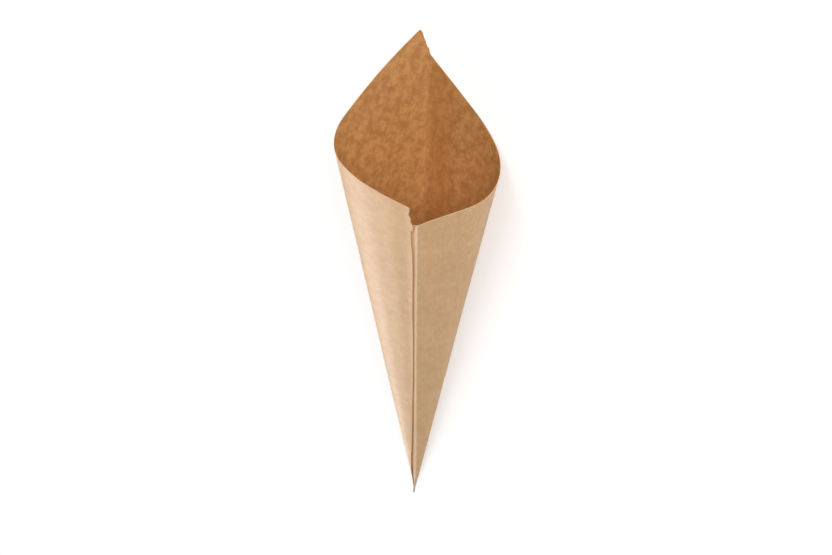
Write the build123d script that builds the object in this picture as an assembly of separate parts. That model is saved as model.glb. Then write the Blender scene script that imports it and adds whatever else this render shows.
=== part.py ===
from build123d import *

import os
from collections import namedtuple
from math import atan2, cos, degrees, radians, sin, tan

# Paper cone bag: one kraft sheet, creased at the back and lapped and glued down its front seam.
# The cone is drawn upright, with its tip at the origin, the back crease behind (+Y) and the seam in
# front (-Y), and is then laid on its flat back panel, as it comes to rest. Lengths are in
# millimetres. Every face of the sheet runs through the tip, so a place on the flat sheet is a
# distance from the tip and an angle from the front fold.

# Sheet
paper_thickness = 0.16
glue_depth = 0.04  # how far the glued flap is pressed into the layer over it

# Front fold and back crease, where they pass through a level section near the mouth
gauge_height = 255.0
section_depth = 89.2
fold_offset = 1.2  # to the right of the tip
crease_offset = 5.8

# Lengths from the tip, along the paper
left_seam_length = 217.9
left_peak_length = 283.9
right_seam_length = 208.4
right_peak_length = 267.8
peak_tear_width = 4.6
peak_tab_width = 1.9  # scrap of the right panel's edge that stands beside the back crease
peak_tab_height = 2.8

# Front seam
fold_strip_width = 2.4  # front fold to the raw edge of the layer on top
flap_narrow_width = 0.9
flap_narrow_length = 46.0
flap_taper_length = 16.0
flap_top_angle = 15.0  # the flap's top edge falls away from the fold

# Pinched tip
closed_length = 8.0  # height that has no hollow below it
nib_width = 0.9
nib_thickness = 0.4
nib_length = 2.5

overrun = 1.0  # how far a cutting tool reaches past what it cuts

# Each panel bends through flat and round stretches, from the front fold to the back crease. The
# left one's first stretch is the lip over the glue flap, which curls outwards instead.
left_stretch_shares = [0.07, 0.05, 0.12, 0.15, 0.22, 0.15, 0.24]
left_turns = [3.8, 2.8, 6.5, 19.9, 81.5, 5.4, 17.1]
lip_turn = -13.0
right_stretch_shares = [0.24, 0.15, 0.22, 0.15, 0.24]
right_turns = [3.2, 44.0, 56.8, 20.9, 0.0]
flap_stretches = 2  # stretches of the left panel that the glue flap runs under

# Raw edge of the top layer, torn at the mouth: distance from the tip as a share of the left seam,
# and distance from the front fold as a share of the fold strip
raw_edge_shares = [
    (0.0, 0.27), (0.02, 0.5), (0.052, 0.83), (0.075, 1.06), (0.139, 1.06), (0.146, 0.92),
    (0.226, 0.84), (0.341, 0.79), (0.4, 0.74), (0.409, 0.6), (0.42, 0.71), (0.543, 0.72),
    (0.701, 0.97), (0.792, 0.92), (0.852, 1.05), (0.895, 1.38), (0.929, 1.47), (0.938, 0.93),
    (0.948, 0.97), (0.96, 1.58), (0.968, 1.54), (0.982, 2.11), (0.994, 1.85), (1.03, 1.9),
]

# Tear at the peak, from the left panel's corner down to the scrap's at the back crease: how far
# along that line, and how far out from it, as shares of its length
peak_tear_shares = [
    (0.1, 0.05), (0.22, 0.02), (0.36, 0.05), (0.48, 0.01), (0.6, 0.03), (0.74, 0.08), (0.87, 0.09),
    (1.0, 0.0),
]

# Edge of that scrap: how far in from the back crease, and how far up, as shares of its sizes
peak_tab_shares = [(0.95, 0.3), (0.8, 0.65), (0.4, 0.88), (0.0, 1.0)]

LEFT, RIGHT = -1, 1
tip = Vector(0, 0, 0)
Stretch = namedtuple("Stretch", "start inward axis sweep length")


def ray(x, y):
    """Unit vector from the tip through a point of the section at the gauge height."""
    return Vector(x, y, gauge_height).normalized()


fold_ray = ray(fold_offset, -section_depth / 2)
crease_ray = ray(crease_offset, section_depth / 2)


def turned(vector, axis, angle):
    """Vector turned about an axis through the tip, by radians."""
    return vector.rotate(Axis(tip, axis), degrees(angle))


def bend(start, heading, inward, length, turn):
    """Stretch of sheet from a ray, that turns by some degrees over its length in radians.

    It is part of a round cone, or of a flat sheet where nothing turns.
    """
    cone_angle = atan2(1, radians(turn) / length)
    axis = start * cos(cone_angle) + inward * sin(cone_angle)
    side = 1 if axis.cross(start).dot(heading) > 0 else -1
    return Stretch(start, inward, axis * side, length / sin(cone_angle), length)


def panel(shares, turns, hand, width, heading):
    """Stretches of one panel of a given width, set out from the front fold with a given heading."""
    stretches, start = [], fold_ray
    for share, turn in zip(shares, turns):
        inward = start.cross(heading) * hand
        one = bend(start, heading, inward, share * width, turn)
        stretches.append(one)
        start, heading = turned(start, one.axis, one.sweep), turned(heading, one.axis, one.sweep)
    return stretches, start


def closing_panel(shares, turns, hand):
    """Panel whose width and heading take it from the front fold to the back crease."""
    span = radians(fold_ray.get_angle(crease_ray))
    heading = fold_ray.cross(crease_ray).cross(fold_ray).normalized()
    width = span
    for _ in shares * 3:
        stretches, end = panel(shares, turns, hand, width, heading)
        width *= span / radians(fold_ray.get_angle(end))
    aim = atan2(end.dot(fold_ray.cross(heading)), end.dot(heading))
    return panel(shares, turns, hand, width, turned(heading, fold_ray, -aim))[0]


left_panel = closing_panel(left_stretch_shares, left_turns, LEFT)
right_panel = closing_panel(right_stretch_shares, right_turns, RIGHT)
first, second = left_panel[:2]
lip = bend(second.start, first.start - second.start, second.inward, first.length, lip_turn)


def ray_at(stretches, angle):
    """Ray at an angle along a panel from the front fold."""
    for one in stretches:
        if angle <= one.length or one is stretches[-1]:
            return turned(one.start, one.axis, one.sweep * angle / one.length)
        angle -= one.length


def wall(stretch, reach, outer=0, inner=paper_thickness):
    """Sheet over one stretch, between two depths, swept round from the strip along its first ray."""
    near, far = stretch.start * (closed_length / 2), stretch.start * reach
    into, out = stretch.inward * inner, stretch.inward * outer
    strip = make_face(Polyline(near + out, far + out, far + into, near + into, close=True))
    return revolve(strip, Axis(tip, stretch.axis), degrees(stretch.sweep))


def cut_length(width, seam_length, peak_length, angle):
    """Distance from the tip to a straight cut across one panel of the flat sheet."""
    rise = peak_length * cos(width) - seam_length
    run = peak_length * sin(width)
    return seam_length * run / (cos(angle) * run - sin(angle) * rise)


def mouth_edge(stretches, seam_length, peak_length, short, steps=30):
    """Points along a panel's straight mouth edge, which ends short of the back crease by a width."""
    width = sum(one.length for one in stretches)
    last = width - short / peak_length
    angles = [last * step / steps for step in range(steps + 1)]
    return [ray_at(stretches, a) * cut_length(width, seam_length, peak_length, a) for a in angles]


reach = max(left_peak_length, right_peak_length) + overrun
crease_plane = Plane(tip, x_dir=crease_ray - fold_ray, z_dir=crease_ray.cross(fold_ray))
lap_plane = Plane(tip, x_dir=fold_ray, z_dir=fold_ray.cross(second.start))
lap_reach = reach * sum(one.length for one in left_panel[:flap_stretches]) * 5 / 4


def side_view(point):
    """Point seen square to the plane of the two creases."""
    local = crease_plane.to_local_coords(point)
    return Vector(local.X, local.Y)


def mouth_tool(points, tear=()):
    """Block that takes away everything past a mouth edge, drawn in the side view."""
    edge = [side_view(point) for point in points]
    torn = [side_view(point) for point in tear]
    start, end = edge[0], (edge + torn)[-1]
    front, back, high = start.X - section_depth, end.X + section_depth, end.Y + section_depth
    outside = Polyline(edge[-1], *torn, (back, end.Y), (back, high), (front, high), (front, start.Y), start)
    face = crease_plane.location * make_face([Spline(*edge), outside])
    return extrude(face, section_depth, both=True)


def lap_tool(points):
    """Shallow block over the front seam, from an outline along and across the line to the tip."""
    depth = closed_length / gauge_height * section_depth * 3 / 4
    block = extrude(make_face(Polyline(*points, close=True)), lap_reach + depth)
    return lap_plane.location * Pos(0, 0, -depth) * block


def tip_cutter():
    """Block that cuts the sheet off level with the top of the closed tip."""
    side = section_depth / 2
    return Box(side, side, closed_length, align=(Align.CENTER, Align.CENTER, Align.MIN))


def end_inward(stretches):
    """Direction into the cone at a panel's end, beside the back crease."""
    last = stretches[-1]
    return turned(last.inward, last.axis, last.sweep)


def crease_cutter(own, other):
    """Bar along the back crease that cuts one panel back to its mitre with the other."""
    inward = end_inward(own)
    across = crease_ray.cross(inward + end_inward(other))
    beyond = across if across.dot(inward) > 0 else -across
    side = paper_thickness * 4
    bar = Box(side, side * 2, reach, align=(Align.MIN, Align.CENTER, Align.MIN))
    return Plane(tip, x_dir=beyond, z_dir=crease_ray).location * bar


def peak_tear(start):
    """Points of the ragged edge at the peak, from the end of the left mouth edge to the right one."""
    along = crease_ray * (right_peak_length + peak_tab_height) - start
    out = crease_ray.cross(start).cross(along).normalized() * along.length
    return [start + along * down + out * aside for down, aside in peak_tear_shares]


def peak_tab():
    """Points of the scrap's edge, from the end of the right mouth edge up to the back crease."""
    width = sum(one.length for one in right_panel)
    points = []
    for aside, up in peak_tab_shares:
        angle = width - aside * peak_tab_width / right_peak_length
        length = cut_length(width, right_seam_length, right_peak_length, angle)
        points.append(ray_at(right_panel, angle) * (length + up * peak_tab_height))
    return points


def make_left_panel():
    """Left panel, the top layer at the seam, with its straight mouth edge and torn raw edge."""
    sheet = Part() + [wall(one, reach) for one in (lip, *left_panel[1:])]
    edge = mouth_edge(left_panel, left_seam_length, left_peak_length, peak_tear_width)
    sheet -= mouth_tool(edge, peak_tear(edge[-1]))
    sheet -= crease_cutter(left_panel, right_panel)
    raw = [(up * left_seam_length, out * fold_strip_width) for up, out in raw_edge_shares]
    high = reach * 2
    sheet -= lap_tool([*raw, (high, raw[-1][1]), (high, -lap_reach), (0, -lap_reach)])
    return sheet - tip_cutter()


def make_right_panel():
    """Right panel and the glue flap past its fold, which is cut back to a strip near the tip."""
    sheet = Part() + [wall(one, reach) for one in right_panel]
    edge = mouth_edge(right_panel, right_seam_length, right_peak_length, peak_tab_width)
    sheet -= mouth_tool(edge, peak_tab())
    sheet -= crease_cutter(right_panel, left_panel)
    under = paper_thickness - glue_depth
    flap = Part() + [wall(one, reach, under, under + paper_thickness) for one in left_panel[:flap_stretches]]
    taper_end = flap_narrow_length + flap_taper_length
    narrow = [(0, flap_narrow_width), (flap_narrow_length, flap_narrow_width)]
    flap -= lap_tool([*narrow, (taper_end, lap_reach / 2), (taper_end, lap_reach), (0, lap_reach)])
    high = reach * 2
    fall = tan(radians(flap_top_angle))
    top = [(right_seam_length - side * lap_reach * fall, side * lap_reach) for side in (-1, 1)]
    flap -= lap_tool([*top, (high, lap_reach), (high, -lap_reach)])
    return (sheet + flap) - tip_cutter()


def plug_outline(length, height):
    """Outline of the whole cone at a distance from the tip, half a thickness in, at a height."""
    places = []
    for stretches in (right_panel, left_panel[::-1]):
        for one in stretches:
            for part in (1, 2):
                share = part / 2 if stretches is right_panel else 1 - part / 2
                start, inward = (turned(way, one.axis, one.sweep * share) for way in one[:2])
                place = start * length + inward * (paper_thickness / 2)
                places.append(Vector(place.X, place.Y, height))
    ends = [places[-1], *places]
    arcs = [ThreePointArc(*three) for three in zip(ends[::2], ends[1::2], ends[2::2])]
    return make_face(arcs)


def rest_plane():
    """Plane of the flat back panel that the bag lies on, facing into the cone."""
    facing = right_panel[-1].inward
    ahead = Vector(0, 0, 1) - facing * facing.Z
    return Plane(tip, x_dir=ahead.cross(facing), z_dir=facing)


def make_tip():
    """Closed end: the layers pressed together, and the pinched nib that lies along the rest plane."""
    long, short = closed_length * 5 / 4, closed_length / 2
    closed = loft([plug_outline(long, long), plug_outline(short * 2 / 3, short)], ruled=True)
    ends = []
    for along, share in ((short * 3 / 2, 1), (-nib_length, 3 / 4)):
        flat = Rectangle(nib_width * share, nib_thickness * share).face()
        ends.append(rest_plane().location * Pos(0, along, nib_thickness / 2) * Rot(90, 0, 0) * flat)
    return closed + loft(ends, ruled=True)


def make_cone():
    """The whole bag, laid on its flat back panel with the middle of its footprint at the origin."""
    cone = make_left_panel() + make_right_panel() + make_tip()
    cone = rest_plane().to_local_coords(cone)
    box = cone.bounding_box()
    middle = box.center()
    return Pos(-middle.X, -middle.Y, -box.min.Z) * cone


os.makedirs("parts", exist_ok=True)
paper_cone = make_cone()
export_step(paper_cone, "parts/paper_cone.step")
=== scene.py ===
"""Paper cone bag: the kraft sheet, its torn and cut edges and its pinched tip, on a pale floor.

The sheet is worked out upright, as the photograph shows the bag, with its tip at the origin, the back
crease behind (+Y) and the lap seam in front (-Y). It is then laid on its flat back panel, where the
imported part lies. Lengths are in metres, and a place on the flat sheet is a distance from the tip and
an angle from the front fold.
"""

from math import atan2, cos, radians, sin, tan

import bpy
import numpy as np
from mathutils import Matrix, Vector, noise


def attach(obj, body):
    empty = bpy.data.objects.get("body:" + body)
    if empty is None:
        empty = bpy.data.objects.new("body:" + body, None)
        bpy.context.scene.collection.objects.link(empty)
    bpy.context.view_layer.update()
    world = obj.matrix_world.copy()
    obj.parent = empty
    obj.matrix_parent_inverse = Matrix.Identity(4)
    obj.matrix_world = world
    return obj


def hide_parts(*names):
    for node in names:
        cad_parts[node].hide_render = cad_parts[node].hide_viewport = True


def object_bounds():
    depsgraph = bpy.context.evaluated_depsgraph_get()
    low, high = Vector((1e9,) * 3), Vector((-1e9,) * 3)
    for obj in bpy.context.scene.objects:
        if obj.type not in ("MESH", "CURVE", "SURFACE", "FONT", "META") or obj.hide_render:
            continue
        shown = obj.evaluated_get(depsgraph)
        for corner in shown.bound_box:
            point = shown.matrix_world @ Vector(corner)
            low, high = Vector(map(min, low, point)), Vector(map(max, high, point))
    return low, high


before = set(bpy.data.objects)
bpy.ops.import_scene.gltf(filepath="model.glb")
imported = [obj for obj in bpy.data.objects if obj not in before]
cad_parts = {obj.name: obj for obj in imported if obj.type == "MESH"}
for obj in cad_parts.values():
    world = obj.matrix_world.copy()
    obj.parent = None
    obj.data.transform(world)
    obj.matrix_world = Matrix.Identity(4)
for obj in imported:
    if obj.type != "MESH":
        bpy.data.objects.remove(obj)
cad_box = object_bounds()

# Size of the bag, as in the part
SHEET = 0.00016
GAUGE_HEIGHT = 0.255
SECTION_DEPTH = 0.0892
FOLD_OFFSET = 0.0012
CREASE_OFFSET = 0.0058
LEFT_SEAM_LENGTH = 0.2179
LEFT_PEAK_LENGTH = 0.2839
RIGHT_SEAM_LENGTH = 0.2084
RIGHT_PEAK_LENGTH = 0.2678
PEAK_TEAR_WIDTH = 0.0046
FOLD_STRIP_WIDTH = 0.0024
FLAP_NARROW_LENGTH = 0.046
FLAP_TAPER_LENGTH = 0.016
FLAP_TOP_SLOPE = tan(radians(15))
NIB_WIDTH = 0.0009
NIB_THICKNESS = 0.0004
NIB_LENGTH = 0.0025

# Side of each panel, seen from the front
LEFT, RIGHT = -1, 1

# Stretches of each panel from the front fold to the back crease: share of its width, and its turn in
# degrees. The left panel's first stretch is the lip, and its first FLAP_STRETCHES lie over the flap.
LEFT_STRETCH_SHARES = [0.07, 0.05, 0.12, 0.15, 0.22, 0.15, 0.24]
LEFT_TURNS = [3.8, 2.8, 6.5, 19.9, 81.5, 5.4, 17.1]
RIGHT_STRETCH_SHARES = [0.24, 0.15, 0.22, 0.15, 0.24]
RIGHT_TURNS = [3.2, 44.0, 56.8, 20.9, 0.0]
FLAP_STRETCHES = 2

# Raw edge of the left panel, as in the part but with a crisper notch near the mouth: distance from
# the tip as a share of the left seam, and distance from the front fold as a share of the fold strip
RAW_EDGE_SHARES = [
    (0.0, 0.27), (0.02, 0.5), (0.052, 0.83), (0.075, 1.06), (0.139, 1.06), (0.146, 0.92),
    (0.226, 0.84), (0.341, 0.79), (0.4, 0.74), (0.409, 0.6), (0.42, 0.71), (0.543, 0.72),
    (0.701, 0.97), (0.792, 0.92), (0.852, 1.05), (0.895, 1.38), (0.931, 1.5), (0.934, 0.86),
    (0.948, 0.97), (0.96, 1.58), (0.968, 1.54), (0.982, 2.11), (0.994, 1.85), (1.03, 1.9),
]
# Tear at the peak: distance past the left panel's last corner, and distance down from it
PEAK_TEAR = [
    (0.0, 0.0), (0.0007, 0.0012), (0.0013, 0.0022), (0.002, 0.0048), (0.0028, 0.0064),
    (0.0035, 0.0088), (0.0042, 0.01), (0.0046, 0.0112),
]
# Scrap left on the right panel at the peak, a little lower than in the part: distance from the back
# crease, and height over the cut
PEAK_SCRAP = [
    (0.0, 0.0024), (0.0006, 0.0022), (0.0011, 0.0018), (0.0013, 0.0006), (0.0017, 0.0),
    (0.0021, -0.0003), (0.006, -0.0003), (0.02, 0.0),
]

# Lip of the left panel: it curls away from the flap, by up to a share of the distance from the tip,
# and a little more at its raw edge
LIP_LIFT_SHARE = 0.0055
EDGE_LIFT = 0.0001
EDGE_LIFT_REACH = 0.003

# Glue flap. It is wider near the tip than in the part, so that the gap shows paper, but at most twice
# the lap's angle.
FLAP_NARROW_WIDTH = 0.0026
FLAP_MOST_LAPS = 2
FLAP_CLEARANCE = 0.00003

# Groove in the flap: it starts and ends at distances from the front fold, is full from one distance
# from the tip on, and fades over others
GROOVE_DEPTH = 0.0005
GROOVE_START = (0.0014, 0.002)
GROOVE_END = (0.003, 0.006)
GROOVE_FULL = 0.02
GROOVE_FADE = (0.04, 0.08)
GROOVE_FADE_SHARE = 0.8

# Tip: where the sheet's first row is, and how sharply the nib opens into it
TIP_LENGTH = 0.0045
NIB_FLARE_POWER = 3

# Small touches that the part leaves out: how large each is and how far it reaches
TIP_BEND = 0.00042
TIP_BEND_REACH = 0.022
CREASE_SOFTNESS = 0.00006
PEAK_WEAR = 0.0004
PEAK_WEAR_REACH = 0.0003
CORNER_DIP = 0.0008
CORNER_DIP_REACH = 0.006

# Random touches: size, pitch, seed and octaves of the raw edge's fray and of the slow ripple, which
# grows to its full size over an angle beside the front fold and the lap
FRACTAL_DIMENSION = 1.0
LACUNARITY = 2.0
RAW_EDGE_FRAY = 0.00018
RAW_EDGE_PITCH = 0.002
RAW_EDGE_SEED = 3.5
RAW_EDGE_OCTAVES = 4
RIPPLE = 0.0003
RIPPLE_PITCH = 0.05
RIPPLE_SEED = 7.5
RIPPLE_OCTAVES = 2
RIPPLE_START = 0.05

# Fineness of the sheet's mesh. A zone beside an edge, fold or crease is its length and columns.
ROW_COUNT = 238
MOUTH_ROWS_SHARE = 0.45
MOUTH_ZONE_SHARE = 0.2
NIB_ROWS = 8
FLAP_EDGE_ZONE = (0.001, 2)
FLAP_FOLD_ZONE = (0.005, 16)
FOLD_ZONE = (0.006, 14)
CREASE_ZONE = (0.006, 18)
LIP_ZONE = (0.006, 22)
FLAP_COLUMNS = 4
RIGHT_COLUMNS = 46
LEFT_COLUMNS = 50
FOLD_STEP = 0.00035
ROWS = np.concatenate([
    np.linspace(0, 1 - MOUTH_ZONE_SHARE, round(ROW_COUNT * (1 - MOUTH_ROWS_SHARE)), endpoint=False),
    np.linspace(1 - MOUTH_ZONE_SHARE, 1, round(ROW_COUNT * MOUTH_ROWS_SHARE)),
])

# Steps of the sums that close in on a panel's width, from a first guess as a share of the straight
# way from fold to crease, and on the place where a column meets the mouth
WIDTH_GUESS = 1.5
WIDTH_STEPS = 12
RIM_STEPS = 6


def unit(vector):
    """Vector or rows of vectors, made of length one."""
    return vector / np.linalg.norm(vector, axis=-1, keepdims=True)


def turned(vector, axis, angle):
    """Vector turned about an axis by an angle or by a column of angles."""
    angle = np.asarray(angle)[..., None]
    along = axis * (vector @ axis)
    return along + (vector - along) * np.cos(angle) + np.cross(axis, vector) * np.sin(angle)


def ray(x, y):
    """Unit vector from the tip through a point of the section at the gauge height."""
    return unit(np.array([x, y, GAUGE_HEIGHT]))


FOLD_RAY = ray(FOLD_OFFSET, -SECTION_DEPTH / 2)
CREASE_RAY = ray(CREASE_OFFSET, SECTION_DEPTH / 2)


class Side:
    """One panel: a chain of flat stretches and round cones through the tip, fold to back crease."""

    def __init__(self, shares, turns, hand):
        self.hand = hand
        span = np.arccos(FOLD_RAY @ CREASE_RAY)
        self.width = span * WIDTH_GUESS
        start = unit(np.cross(np.cross(FOLD_RAY, CREASE_RAY), FOLD_RAY))
        for _ in range(WIDTH_STEPS):
            self.lay(shares, turns, start)
            self.width *= span / np.arccos(FOLD_RAY @ self.end)
        self.lay(shares, turns, start)
        across = np.cross(FOLD_RAY, start)
        aim = atan2(self.end @ across, self.end @ start)
        self.lay(shares, turns, turned(start, FOLD_RAY, -aim))

    def lay(self, shares, turns, heading):
        """Works out where each stretch starts, its axis and how fast it turns."""
        self.starts, self.frames = [0.0], []
        point = FOLD_RAY
        for share, turn in zip(shares, turns):
            length = share * self.width
            cone_angle = atan2(1, radians(turn) / length)
            inward = self.hand * np.cross(point, heading)
            axis = cos(cone_angle) * point + sin(cone_angle) * inward
            rate = self.hand / sin(cone_angle)
            self.frames.append((point, heading, axis, rate))
            self.starts.append(self.starts[-1] + length)
            point, heading = turned(point, axis, rate * length), turned(heading, axis, rate * length)
        self.end = point

    def at(self, angles):
        """Rays and outward normals at angles along the sheet from the front fold."""
        angles = np.asarray(angles, float)
        rays, normals = np.empty(angles.shape + (3,)), np.empty(angles.shape + (3,))
        last = len(self.frames) - 1
        which = np.clip(np.searchsorted(self.starts, angles, side="right") - 1, 0, last)
        for number, (point, heading, axis, rate) in enumerate(self.frames):
            here = which == number
            turn = rate * (angles[here] - self.starts[number])
            rays[here] = turned(point, axis, turn)
            normals[here] = -self.hand * np.cross(rays[here], turned(heading, axis, turn))
        return rays, normals


left_side = Side(LEFT_STRETCH_SHARES, LEFT_TURNS, LEFT)
right_side = Side(RIGHT_STRETCH_SHARES, RIGHT_TURNS, RIGHT)
LIP_ANGLE = left_side.starts[1]
LAP_ANGLE = left_side.starts[FLAP_STRETCHES]


def straight_cut(side, seam_length, peak_length, angles):
    """Distance from the tip to a straight cut across one panel of the flat sheet."""
    along = peak_length * np.exp(1j * side.width) - seam_length
    way = np.exp(1j * np.asarray(angles))
    return (seam_length * along).imag / (np.conj(way) * along).imag


def rim_left(angles):
    """Distance from the tip to the left panel's mouth edge, torn off at the peak."""
    edge = straight_cut(left_side, LEFT_SEAM_LENGTH, LEFT_PEAK_LENGTH, angles)
    tear_start = left_side.width - PEAK_TEAR_WIDTH / LEFT_PEAK_LENGTH
    top = straight_cut(left_side, LEFT_SEAM_LENGTH, LEFT_PEAK_LENGTH, tear_start)
    past = (np.asarray(angles) - tear_start) * LEFT_PEAK_LENGTH
    edge = np.where(past > 0, top - np.interp(past, *zip(*PEAK_TEAR)), edge)
    return edge - PEAK_WEAR * np.exp(-np.abs(past) / PEAK_WEAR_REACH)


def rim_right(angles):
    """Distance from the tip to the right panel's mouth edge, with its scrap at the peak."""
    edge = straight_cut(right_side, RIGHT_SEAM_LENGTH, RIGHT_PEAK_LENGTH, angles)
    edge = edge + np.interp((right_side.width - angles) * RIGHT_PEAK_LENGTH, *zip(*PEAK_SCRAP))
    return edge - CORNER_DIP * np.exp(-np.asarray(angles) * RIGHT_SEAM_LENGTH / CORNER_DIP_REACH)


def rim_flap(angles):
    """Distance from the tip to the glue flap's top edge."""
    return (RIGHT_SEAM_LENGTH - CORNER_DIP) / (np.cos(angles) + np.sin(angles) * FLAP_TOP_SLOPE)


def waver(places, pitch, seed, octaves):
    """Smooth random value, between about -1 and 1, for each row of two lengths."""
    flat = np.reshape(places, (-1, 2)) / pitch
    spots = [Vector((x, y, seed)) for x, y in flat]
    values = [noise.fractal(spot, FRACTAL_DIMENSION, LACUNARITY, octaves) for spot in spots]
    return np.reshape(values, np.shape(places)[:-1])


def eased(values, low, high):
    """Share from 0 to 1 of the way between two values, eased at both ends."""
    share = np.clip((values - low) / (high - low), 0, 1)
    return share * share * (3 - 2 * share)


def raw_edge_angle(lengths):
    """Angle from the front fold to the left panel's raw edge, at distances from the tip."""
    ups, outs = zip(*RAW_EDGE_SHARES)
    out = np.interp(lengths / LEFT_SEAM_LENGTH, ups, outs) * FOLD_STRIP_WIDTH
    places = np.stack([lengths, 0 * lengths], -1)
    out = out + RAW_EDGE_FRAY * waver(places, RAW_EDGE_PITCH, RAW_EDGE_SEED, RAW_EDGE_OCTAVES)
    return out / lengths


def flap_edge_angle(lengths):
    """Angle from the front fold back to the glue flap's free edge."""
    taper_end = FLAP_NARROW_LENGTH + FLAP_TAPER_LENGTH
    widths = [FLAP_NARROW_WIDTH, LAP_ANGLE * taper_end]
    angles = np.interp(lengths, [FLAP_NARROW_LENGTH, taper_end], widths) / lengths
    return np.where(lengths > taper_end, LAP_ANGLE, np.minimum(angles, FLAP_MOST_LAPS * LAP_ANGLE))


def near_fold(lengths):
    """Angle of a small step away from the front fold."""
    return FOLD_STEP / lengths


def near_crease_right(lengths):
    """Angle along the right panel of a small step short of the back crease."""
    return right_side.width - near_fold(lengths)


def near_crease_left(lengths):
    """Angle along the left panel of a small step short of the back crease."""
    return left_side.width - near_fold(lengths)


def spread(width, start, middle, end):
    """Shares across a panel of a width. Each end has a zone, given as its length and columns."""
    first = np.linspace(0, start[0], start[1], endpoint=False)
    between = np.linspace(start[0], width - end[0], middle, endpoint=False)
    last = np.linspace(width - end[0], width, end[1])
    return np.concatenate([first, between, last]) / width


def columns_of(edge_from, edge_to, rim, shares):
    """Lengths and angles of a grid between two edges, each an angle that depends on the length."""
    rims = np.full(len(shares), LEFT_SEAM_LENGTH)
    for _ in range(RIM_STEPS):
        rims = rim(edge_from(rims) + (edge_to(rims) - edge_from(rims)) * shares)
    lengths = TIP_LENGTH + (rims[None, :] - TIP_LENGTH) * ROWS[:, None]
    start, end = edge_from(lengths), edge_to(lengths)
    return lengths, start + (end - start) * shares


def groove_depth(lengths, aside):
    """Depth of the flap's groove, at distances from the tip and from the front fold."""
    groove = eased(aside, *GROOVE_START) * (1 - eased(aside, *GROOVE_END))
    groove = groove * eased(lengths, 0, GROOVE_FULL)
    return GROOVE_DEPTH * (groove * (1 - GROOVE_FADE_SHARE * eased(lengths, *GROOVE_FADE)))


def flap_block():
    """Glue flap: it lies under the left panel, in a shallow groove beside the front fold."""
    shares = spread(LAP_ANGLE * RIGHT_SEAM_LENGTH, FLAP_EDGE_ZONE, FLAP_COLUMNS, FLAP_FOLD_ZONE)
    lengths, angles = columns_of(flap_edge_angle, near_fold, rim_flap, shares)
    rays, normals = left_side.at(angles)
    depth = SHEET + FLAP_CLEARANCE + groove_depth(lengths, angles * lengths)
    return rays * lengths[..., None] - normals * depth[..., None], normals, lengths, -angles


def right_block():
    """Right panel."""
    shares = spread(right_side.width * GAUGE_HEIGHT, FOLD_ZONE, RIGHT_COLUMNS, CREASE_ZONE)
    lengths, angles = columns_of(near_fold, near_crease_right, rim_right, shares)
    rays, normals = right_side.at(angles)
    return rays * lengths[..., None], normals, lengths, angles


def left_block():
    """Left panel, whose lip over the flap curls out and lifts a little more at its raw edge."""
    shares = spread(left_side.width * GAUGE_HEIGHT, CREASE_ZONE, LEFT_COLUMNS, LIP_ZONE)
    lengths, angles = columns_of(near_crease_left, raw_edge_angle, rim_left, shares)
    rays, normals = left_side.at(angles)
    lift = np.clip(1 - angles / LIP_ANGLE, 0, None) ** 2 * LIP_LIFT_SHARE * lengths
    from_edge = (angles - raw_edge_angle(lengths)) * lengths
    lift = lift + EDGE_LIFT * np.exp(-((from_edge / EDGE_LIFT_REACH) ** 2))
    points = rays * lengths[..., None] + normals * lift[..., None]
    return points, normals, lengths, left_side.width + right_side.width - angles


def mitred(normal_a, normal_b):
    """Offset of a corner between two faces, for a depth of one."""
    return (normal_a + normal_b) / (1 + (normal_a * normal_b).sum(-1, keepdims=True))


def corner_column(way, normal_a, normal_b, rim, angle, depth):
    """One column of the sheet along the front fold or the back crease."""
    lengths = (TIP_LENGTH + (rim - TIP_LENGTH) * ROWS)[:, None]
    normal = mitred(normal_a, normal_b)
    return way * lengths[..., None] - normal * depth, normal, lengths, angle + 0 * lengths


def sheet_grid():
    """Outer face points, inward steps, distances from the tip and angles of the whole sheet.

    The columns run from the glue flap's free edge round the right panel, over the back crease and
    along the left panel to its raw edge.
    """
    flap, right, left = flap_block(), right_block(), left_block()
    seam, peak = float(rim_right(0.0)), float(rim_left(left_side.width))
    flap_depth = (SHEET + FLAP_CLEARANCE) / 2
    fold = corner_column(FOLD_RAY, flap[1][:, -1:], right[1][:, :1], seam, 0.0, flap_depth)
    ends = right[1][:, -1:], left[1][:, :1]
    crease = corner_column(CREASE_RAY, *ends, peak, right_side.width, CREASE_SOFTNESS)
    return [np.concatenate(part, axis=1) for part in zip(flap, fold, right, crease, left)]


def ripple_depth(lengths, angles, flat):
    """How far the slow ripple takes the sheet inwards. It fades out at the fold and at the lap."""
    past_lap = left_side.width + right_side.width - LAP_ANGLE - angles
    free = eased(angles, 0, RIPPLE_START) * eased(past_lap, 0, RIPPLE_START)
    ripple = waver(flat[..., :2], RIPPLE_PITCH, RIPPLE_SEED, RIPPLE_OCTAVES)
    return RIPPLE * (1 + np.clip(ripple, -1, 1)) * free * np.clip(lengths / GAUGE_HEIGHT, 0, 1)


def laid(points):
    """Points of the upright bag, turned so that its flat back panel lies on the floor."""
    facing = -right_side.at([right_side.width])[1][0]
    ahead = unit(np.array([0, 0, 1.0]) - facing * facing[2])
    return points @ np.stack([np.cross(ahead, facing), ahead, facing], axis=1)


def pinched_rows(section):
    """Rows of points of the nib, from its end to a section of the tip that it is pinched from."""
    low, high = section.min(axis=0), section.max(axis=0)
    middle = (low[0] + high[0]) / 2
    narrow, thin = NIB_WIDTH / (high[0] - low[0]), NIB_THICKNESS / high[2]
    rows = []
    for step in range(NIB_ROWS):
        share = step / NIB_ROWS
        flare = share ** NIB_FLARE_POWER
        row = section.copy()
        row[:, 0] = (section[:, 0] - middle) * (narrow * (1 - flare) + flare) + middle * share
        row[:, 1] = -NIB_LENGTH + (section[:, 1] + NIB_LENGTH) * share
        row[:, 2] = section[:, 2] * (thin * (1 - flare) + flare)
        rows.append(row)
    return rows


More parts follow.
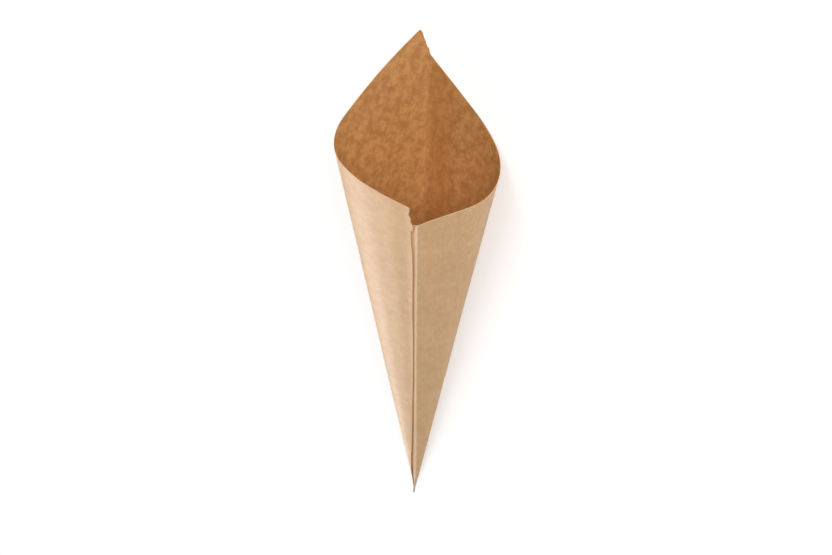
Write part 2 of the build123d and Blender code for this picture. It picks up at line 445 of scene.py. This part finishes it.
def bent(points):
    """Laid points, after the slight sideways bend of the tip, and none below the floor."""
    along = np.clip(points[..., 1], 0, None) / TIP_BEND_REACH
    points = points.copy()
    points[..., 0] += TIP_BEND * along * np.exp(1 - along)
    points[..., 2] = np.clip(points[..., 2], 0, None)
    return points


def edge_distance(lengths, angles):
    """Rough distance from each place on the sheet to its nearest cut or torn edge."""
    up = lengths[-1:, :] - lengths
    to_raw = (angles[:, -1:] - angles) * lengths
    to_flap = (angles - angles[:, :1]) * lengths
    return np.minimum(np.minimum(up, to_raw), to_flap)


def shell_faces(rows, columns):
    """Quads of two layers of a grid and of the edges that join them."""
    outer = np.arange(rows * columns).reshape(rows, columns)
    inner = outer + rows * columns
    edges = [(outer[-1], inner[-1]), (inner[0], outer[0]), (inner[:, -1], outer[:, -1])]
    edges.append((outer[:, 0], inner[:, 0]))
    bands = [*zip(outer[:-1], outer[1:]), *zip(inner[:-1, ::-1], inner[1:, ::-1]), *edges]
    faces = [np.stack([one[:-1], one[1:], two[1:], two[:-1]], axis=1) for one, two in bands]
    return np.concatenate(faces)


def for_both_layers(values):
    """Values of the sheet's grid, with the nib's rows, for the outer and then for the inner face."""
    layer = np.concatenate([np.repeat(values[:1], NIB_ROWS, axis=0), values])
    return np.concatenate([layer, layer]).reshape(-1, *values.shape[2:])


def add_mesh(name, vertices, faces, attributes):
    """Smooth mesh object with vertex attributes."""
    mesh = bpy.data.meshes.new(name)
    mesh.from_pydata(vertices.tolist(), [], faces.tolist())
    for key, values in attributes.items():
        kind, field = ("FLOAT_VECTOR", "vector") if values.ndim == 2 else ("FLOAT", "value")
        attribute = mesh.attributes.new(key, kind, "POINT")
        attribute.data.foreach_set(field, values.astype(np.float32).ravel())
    mesh.polygons.foreach_set("use_smooth", [True] * len(mesh.polygons))
    mesh.validate()
    piece = bpy.data.objects.new(name, mesh)
    bpy.context.scene.collection.objects.link(piece)
    return piece


def make_sheet():
    """Points, faces and attributes of the folded, glued and pinched sheet.

    The attributes tell the paper's nodes where a point is: flat is its place on the flat sheet,
    flat_length its distance from the tip, edge that to the nearest edge, and fold and crease those
    from the front fold and the back crease, below 0 on the flap and on the right panel. On the inner
    face, inside is 1.
    """
    outer, normals, lengths, angles = sheet_grid()
    flat = np.stack([lengths * np.cos(angles), lengths * np.sin(angles), 0 * lengths], -1)
    outer = outer - normals * ripple_depth(lengths, angles, flat)[..., None]
    layers = [laid(outer), laid(outer - normals * SHEET)]
    layers = [bent(np.concatenate([pinched_rows(layer[0]), layer])) for layer in layers]
    grids = {
        "flat": flat,
        "flat_length": lengths,
        "edge": edge_distance(lengths, angles),
        "fold": angles * lengths,
        "crease": (angles - right_side.width) * lengths,
    }
    attributes = {name: for_both_layers(values) for name, values in grids.items()}
    rows, columns = lengths.shape[0] + NIB_ROWS, lengths.shape[1]
    attributes["inside"] = np.repeat([0.0, 1.0], rows * columns)
    points = np.concatenate([layer.reshape(-1, 3) for layer in layers])
    return points, shell_faces(rows, columns), attributes


points, faces, attributes = make_sheet()
middle = (points[:, 0].min() + points[:, 0].max()) / 2
shift = np.array([-middle, cad_box[0].y + NIB_LENGTH, 0])
sheet = add_mesh("folded_sheet", points + shift, faces, attributes)
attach(sheet, "root")
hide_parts("paper_cone")


# Camera, set as the photograph sees the upright bag
FOCAL_PIXELS = 2300
PHOTO_WIDTH = 832
SENSOR_WIDTH = 36
CAMERA_ELEVATION = radians(34)
CAMERA_ROLL = radians(0.298)
CAMERA_TARGET = np.array([0.0003, 0.0, 0.14804])
CAMERA_DISTANCE = 1.255
back = np.array([0, -cos(CAMERA_ELEVATION), sin(CAMERA_ELEVATION)])
level = np.array([1.0, 0, 0])
above = np.cross(back, level)
right_way = level * cos(CAMERA_ROLL) + above * sin(CAMERA_ROLL)
up_way = above * cos(CAMERA_ROLL) - level * sin(CAMERA_ROLL)


def to_world(point):
    """Place beside the upright bag, as a place in the scene."""
    return Vector(laid(np.asarray(point, float)) + shift)


def aimed(x_way, y_way, z_way, place):
    """World matrix of a lamp or camera from its axes beside the upright bag."""
    turn = Matrix([laid(way) for way in (x_way, y_way, z_way)]).transposed().to_4x4()
    return Matrix.Translation(to_world(place)) @ turn


def add_camera():
    """Camera with the photograph's view and lens."""
    data = bpy.data.cameras.new("camera")
    data.sensor_width = SENSOR_WIDTH
    data.lens = data.sensor_width * FOCAL_PIXELS / PHOTO_WIDTH
    camera = bpy.data.objects.new("camera", data)
    camera.matrix_world = aimed(right_way, up_way, back, CAMERA_TARGET + back * CAMERA_DISTANCE)
    bpy.context.scene.collection.objects.link(camera)
    bpy.context.scene.camera = camera


add_camera()


class Nodes:
    """Shorthand for building a node tree."""

    def __init__(self, name):
        self.material = bpy.data.materials.new(name)
        self.material.use_nodes = True
        self.tree = self.material.node_tree
        self.tree.nodes.clear()

    def put(self, socket, value):
        """Links or sets one input."""
        if isinstance(value, bpy.types.NodeSocket):
            self.tree.links.new(value, socket)
        elif isinstance(value, tuple) and socket.type == "RGBA":
            socket.default_value = (*value, 1)
        else:
            socket.default_value = value

    def add(self, kind, inputs=None, **settings):
        """Node with its settings and inputs."""
        node = self.tree.nodes.new("ShaderNode" + kind)
        for key, value in settings.items():
            setattr(node, key, value)
        for key, value in (inputs or {}).items():
            self.put(node.inputs[key], value)
        return node

    def attribute(self, name, output="Fac"):
        """Vertex attribute."""
        return self.add("Attribute", attribute_name=name).outputs[output]

    def maths(self, operation, first, second):
        """Result of one sum."""
        return self.add("Math", {0: first, 1: second}, operation=operation).outputs[0]

    def mix(self, factor, first, second, blend="MIX"):
        """Blend of two colours."""
        inputs = {"Factor": factor, 6: first, 7: second}
        return self.add("Mix", inputs, data_type="RGBA", blend_type=blend).outputs[2]

    def grain(self, place, scale, detail, rough, stretch=(1, 1, 1)):
        """Noise value at a place in metres, whose pitch is one over the scale."""
        place = self.add("Mapping", {"Vector": place, "Scale": Vector(stretch)}).outputs[0]
        inputs = {"Vector": place, "Scale": scale, "Detail": detail, "Roughness": rough}
        return self.add("TexNoise", inputs).outputs["Fac"]

    def ramp(self, value, low, high, out_low=0.0, out_high=1.0):
        """Value eased from one range to another."""
        inputs = {"Value": value, 1: low, 2: high, 3: out_low, 4: out_high}
        return self.add("MapRange", inputs, interpolation_type="SMOOTHSTEP").outputs[0]

    def band(self, value, rise, fall):
        """Share that is eased up over one range and down over another."""
        return self.maths("MULTIPLY", self.ramp(value, *rise), self.ramp(value, *fall))


# Colours of the paper
OUTSIDE_LIGHT = (0.775, 0.51, 0.278)
OUTSIDE_DARK = (0.715, 0.445, 0.222)
# Inside colours: painted shade and bounce light, darker and more orange than the same paper outside
INSIDE_PAINTED_SHADE_LIGHT = (0.55, 0.28, 0.097)
INSIDE_PAINTED_SHADE_DARK = (0.385, 0.172, 0.05)
# Painted shade on the inner right panel beside the back crease
CREASE_PAINTED_SHADE = (0.43, 0.165, 0.04)
# Painted highlight along the inner back crease
CREASE_PAINTED_HIGHLIGHT = (0.62, 0.33, 0.13)
# Painted light: the flap under the lip, brighter and warmer to lift its shadow, as bounce light in the
# crevice
GAP_PAINTED_BOUNCE_LIGHT = (0.95, 0.58, 0.27)
# Painted shadow of the lifted lip on the flap beside the raw edge, darker near the tip
GAP_PAINTED_SHADOW = (0.8, 0.47, 0.21)
GAP_PAINTED_SHADOW_LOW = (0.48, 0.21, 0.085)
FLECK_COLOUR = (0.6, 0.24, 0.1)
# Front fold: paler from wear, and a painted highlight where its ridge catches light
FOLD_WEAR_AND_HIGHLIGHT = (0.94, 0.7, 0.45)
EDGE_COLOUR = (0.74, 0.56, 0.37)
THROUGH_COLOUR = (0.155, 0.1, 0.045)

# Noise of the paper: scale in cycles a metre, detail, roughness and, where it has one, its stretch
CLOUDS = (190, 4, 0.55)
BROAD_CLOUDS = (45, 2, 0.5)
INSIDE_CLOUDS = (200, 8, 0.72)
FIBRES = (1500, 5, 0.7, (1, 0.35, 1))
CROSS_FIBRES = (900, 4, 0.7, (0.3, 1, 1))
SPECKS = (330, 1, 0.5)
FLECKS = (700, 2, 0.5, (0.5, 1, 1))

# Ranges of noise: where a touch starts and is full, and what it gives at each end if not 0 and 1
CLOUD_RANGE = (0.3, 0.7)
INSIDE_CLOUD_RANGE = (0.38, 0.62)
SPECK_RANGE = (0.735, 0.76, 0.0, 0.6)
FIBRE_TONE = (0.7, 1.3, 0.91, 1.06)
BROAD_TONE = (0.3, 0.7, 0.97, 1.02)
FLECK_TONE = (0.68, 0.74, 1.0, 0.85)

# Ranges of distance, in the same form. A pair of them is where a band comes in and goes out.
TIP_TONE = (TIP_LENGTH, 0.01, 0.75, 1.0)
EDGE_RANGE = (0.0, 0.0006, 0.5, 0.0)
# Painted shade band on the inner right panel, coming in and going out towards the back crease
CREASE_PAINTED_SHADE_BAND = (-0.026, -0.008), (-0.006, -0.0025, 0.4, 0.0)
# Painted highlight band just right of the back crease
CREASE_PAINTED_HIGHLIGHT_BAND = (-0.0035, -0.0015), (-0.0005, 0.001, 0.3, 0.0)
SEAM_DRIFT = (0.05, 0.2, 0.0002, -0.0005)
# Where the painted bounce light under the lip comes in
GAP_PAINTED_BOUNCE_RANGE = (-0.0014, -0.0007, 0.9, 0.0)
# Painted shadow band beside the raw edge, and the distances from the tip over which it turns paler
GAP_PAINTED_SHADOW_BAND = (-0.0021, -0.0017), (-0.0011, -0.0007, 0.8, 0.0)
GAP_PAINTED_SHADOW_PALER = (0.06, 0.12)
# Band of the front fold's wear and painted highlight
FOLD_WEAR_AND_HIGHLIGHT_BAND = (-0.0013, -0.0008), (0.0002, 0.0009, 0.8, 0.0)

# Finish of the paper
PAPER_ROUGHNESS = 0.52
FIBRE_HEIGHT = 0.5
BUMP_STRENGTH = 0.25
BUMP_DISTANCE = 0.0002


def inside_painted_shade_colour(make, flat):
    """Inner colour: darker and more orange as painted shade, with a painted highlight along the back
    crease and painted shade to its right.
    """
    # Clouds: the paper's own formation, drawn as strongly as light coming through the paper shows it,
    # so partly painted light
    clouds = make.ramp(make.grain(flat, *INSIDE_CLOUDS), *INSIDE_CLOUD_RANGE)
    crease = make.attribute("crease")
    # Painted shade: the inner face darker and more orange than the outer one
    colour = make.mix(clouds, INSIDE_PAINTED_SHADE_DARK, INSIDE_PAINTED_SHADE_LIGHT)
    # Painted shade to the right of the back crease
    colour = make.mix(make.band(crease, *CREASE_PAINTED_SHADE_BAND), colour, CREASE_PAINTED_SHADE)
    # Painted highlight along the back crease
    return make.mix(make.band(crease, *CREASE_PAINTED_HIGHLIGHT_BAND), colour, CREASE_PAINTED_HIGHLIGHT)


def seam_colour(make, colour):
    """Outer colour, with painted bounce light and painted shadow in the gap beside the raw edge, and a
    front fold paler from wear and a painted highlight.
    """
    length = make.attribute("flat_length")
    fold = make.maths("SUBTRACT", make.attribute("fold"), make.ramp(length, *SEAM_DRIFT))
    # Painted bounce light on the flap under the lip
    colour = make.mix(make.ramp(fold, *GAP_PAINTED_BOUNCE_RANGE), colour, GAP_PAINTED_BOUNCE_LIGHT)
    # Painted shadow of the lip, darker near the tip
    gap_shadow_colour = make.mix(make.ramp(length, *GAP_PAINTED_SHADOW_PALER), GAP_PAINTED_SHADOW_LOW, GAP_PAINTED_SHADOW)
    colour = make.mix(make.band(fold, *GAP_PAINTED_SHADOW_BAND), colour, gap_shadow_colour)
    # Front fold paler from wear and a painted highlight
    return make.mix(make.band(fold, *FOLD_WEAR_AND_HIGHLIGHT_BAND), colour, FOLD_WEAR_AND_HIGHLIGHT)


def outside_colour(make, flat, clouds):
    """Outer colour, pale, clouded and specked."""
    colour = make.mix(make.ramp(clouds, *CLOUD_RANGE), OUTSIDE_DARK, OUTSIDE_LIGHT)
    specks = make.ramp(make.grain(flat, *SPECKS), *SPECK_RANGE)
    return seam_colour(make, make.mix(specks, colour, FLECK_COLOUR))


def paper_tone(make, flat, all_fibres):
    """Grey that the colour is multiplied by, for the fibres, slow clouds, flecks and a darker tip."""
    from_tip = make.add("VectorMath", {0: flat}, operation="LENGTH").outputs["Value"]
    tone = make.ramp(all_fibres, *FIBRE_TONE)
    tone = make.maths("MULTIPLY", tone, make.ramp(make.grain(flat, *BROAD_CLOUDS), *BROAD_TONE))
    tone = make.maths("MULTIPLY", tone, make.ramp(make.grain(flat, *FLECKS), *FLECK_TONE))
    tone = make.maths("MULTIPLY", tone, make.ramp(from_tip, *TIP_TONE))
    return make.add("CombineColor", {0: tone, 1: tone, 2: tone}).outputs[0]


def kraft_paper():
    """Uncoated brown kraft paper: pale, clouded and flecked, darker and more orange inside as painted
    shade, with painted shade, highlights and bounce light at the crease and the seam, and thin enough
    for light to come through."""
    make = Nodes("kraft_paper")
    flat = make.attribute("flat", "Vector")
    clouds = make.grain(flat, *CLOUDS)
    fibres = make.grain(flat, *FIBRES)
    all_fibres = make.maths("ADD", fibres, make.grain(flat, *CROSS_FIBRES))
    sides = outside_colour(make, flat, clouds), inside_painted_shade_colour(make, flat)
    colour = make.mix(make.attribute("inside"), *sides)
    colour = make.mix(1.0, colour, paper_tone(make, flat, all_fibres), "MULTIPLY")
    colour = make.mix(make.ramp(make.attribute("edge"), *EDGE_RANGE), colour, EDGE_COLOUR)
    height = make.maths("ADD", make.maths("MULTIPLY", fibres, FIBRE_HEIGHT), clouds)
    inputs = {"Height": height, "Strength": BUMP_STRENGTH, "Distance": BUMP_DISTANCE}
    bump = make.add("Bump", inputs).outputs[0]
    inputs = {"Base Color": colour, "Normal": bump, "Roughness": PAPER_ROUGHNESS}
    paper = make.add("BsdfPrincipled", inputs).outputs[0]
    glow = make.add("BsdfTranslucent", {"Color": THROUGH_COLOUR}).outputs[0]
    both = make.add("AddShader", {0: paper, 1: glow}).outputs[0]
    make.add("OutputMaterial", {"Surface": both})
    return make.material


sheet.data.materials.append(kraft_paper())


# Floor, and the light that it gives off to the camera alone
FLOOR_HALF = 6.0
FLOOR_COLOUR = (0.8, 0.8, 0.8)
FLOOR_GLOW = 0.41

# Lamps: where each stands as seen from the upright bag, its distance, width and power
MIRROR_SHARE = 0.3
LEFT_LAMP = (2.2, 1.0, 31.5)
OTHER_LAMP = (1.6, 0.8, 9)
OTHER_LAMP_WAYS = {
    "right_lamp": (0.5, -0.35, 0.8),
    "top_lamp": (-0.45, -0.55, 0.85),
    "front_lamp": (0.1, -0.8, 0.55),
}
AIM_HEIGHT = GAUGE_HEIGHT * 2 / 3
WORLD_STRENGTH = 0.2


def floor_material():
    """Pale floor that the camera sees as white outside the shadow."""
    make = Nodes("pale_floor")
    path = make.add("LightPath").outputs
    seen = make.maths("MAXIMUM", path["Is Camera Ray"], path["Is Glossy Ray"])
    seen = make.maths("MAXIMUM", seen, path["Is Transmission Ray"])
    plain = make.add("BsdfDiffuse", {"Color": FLOOR_COLOUR}).outputs[0]
    glow = make.add("Emission", {"Strength": make.maths("MULTIPLY", seen, FLOOR_GLOW)}).outputs[0]
    both = make.add("AddShader", {0: plain, 1: glow}).outputs[0]
    make.add("OutputMaterial", {"Surface": both})
    return make.material


def add_floor():
    """Level floor that the bag lies on."""
    corners = np.array([(-1, -1, 0), (1, -1, 0), (1, 1, 0), (-1, 1, 0)]) * FLOOR_HALF
    floor = add_mesh("floor", corners, np.array([[0, 1, 2, 3]]), {})
    floor.data.materials.append(floor_material())


def add_lamp(name, way, distance, width, power):
    """Square soft lamp, seen from the upright bag in a direction, that faces the bag."""
    way = unit(np.asarray(way, float))
    side = unit(np.cross([0, 0, 1.0], way))
    data = bpy.data.lights.new(name, "AREA")
    data.size = width
    data.energy = power
    lamp = bpy.data.objects.new(name, data)
    place = (FOLD_RAY + CREASE_RAY) / 2 * AIM_HEIGHT + way * distance
    lamp.matrix_world = aimed(side, np.cross(way, side), way, place)
    bpy.context.scene.collection.objects.link(lamp)


def add_lamps():
    """Soft lamps. The left one stands where the left panel mirrors it to the camera, for its sheen."""
    normal = left_side.at([left_side.width * MIRROR_SHARE])[1][0]
    add_lamp("left_lamp", 2 * (back @ normal) * normal - back, *LEFT_LAMP)
    for name, way in OTHER_LAMP_WAYS.items():
        add_lamp(name, way, *OTHER_LAMP)


def add_world():
    """Even white light from all round."""
    world = bpy.data.worlds.new("studio")
    world.use_nodes = True
    inputs = world.node_tree.nodes["Background"].inputs
    inputs["Color"].default_value = (1, 1, 1, 1)
    inputs["Strength"].default_value = WORLD_STRENGTH
    bpy.context.scene.world = world


add_floor()
add_lamps()
add_world()
bpy.context.scene.view_settings.view_transform = "Standard"
